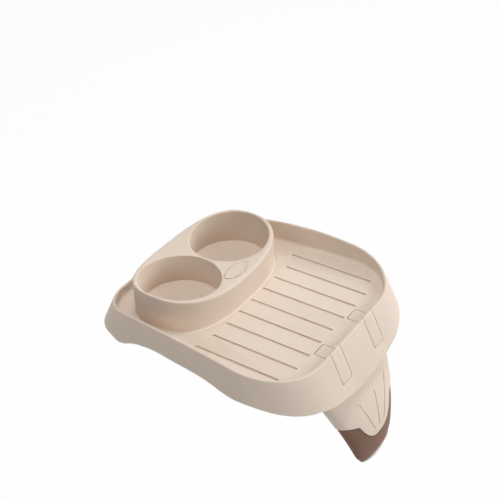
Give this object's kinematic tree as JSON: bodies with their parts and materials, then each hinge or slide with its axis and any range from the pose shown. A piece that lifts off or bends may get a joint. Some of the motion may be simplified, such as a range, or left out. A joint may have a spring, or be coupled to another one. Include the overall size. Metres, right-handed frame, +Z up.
{
  "type": "spa side tray",
  "caption": "Moulded spa side tray with a grooved snack floor, a raised collar round twin drink wells, a flared skirt that saddles the wall, and a curved two-tone leg.",
  "frame": {"origin": "middle of the tray's flat underside, where it sits on top of the spa wall", "axes": "+X runs along the wall, -Y points to the edge with the leg, +Z is up; the left and right halves mirror in the plane x = 0"},
  "size_m": [0.2098, 0.241, 0.1507],
  "materials": {
    "tray_plastic": "fine matt moulded grain, warm beige",
    "frame_plastic": "fine matt moulded grain, warm beige",
    "cover_plastic": "fine matt moulded grain, warm beige",
    "grip_plastic": "satin moulded, cocoa brown",
    "screw_steel": "zinc plated"
  },
  "bodies": {
    "root": {"tray": "tray_plastic", "leg_frame": "frame_plastic", "leg_cover": "cover_plastic", "leg_grip": "grip_plastic", "leg_screws": "screw_steel"}
  },
  "joints": []
}
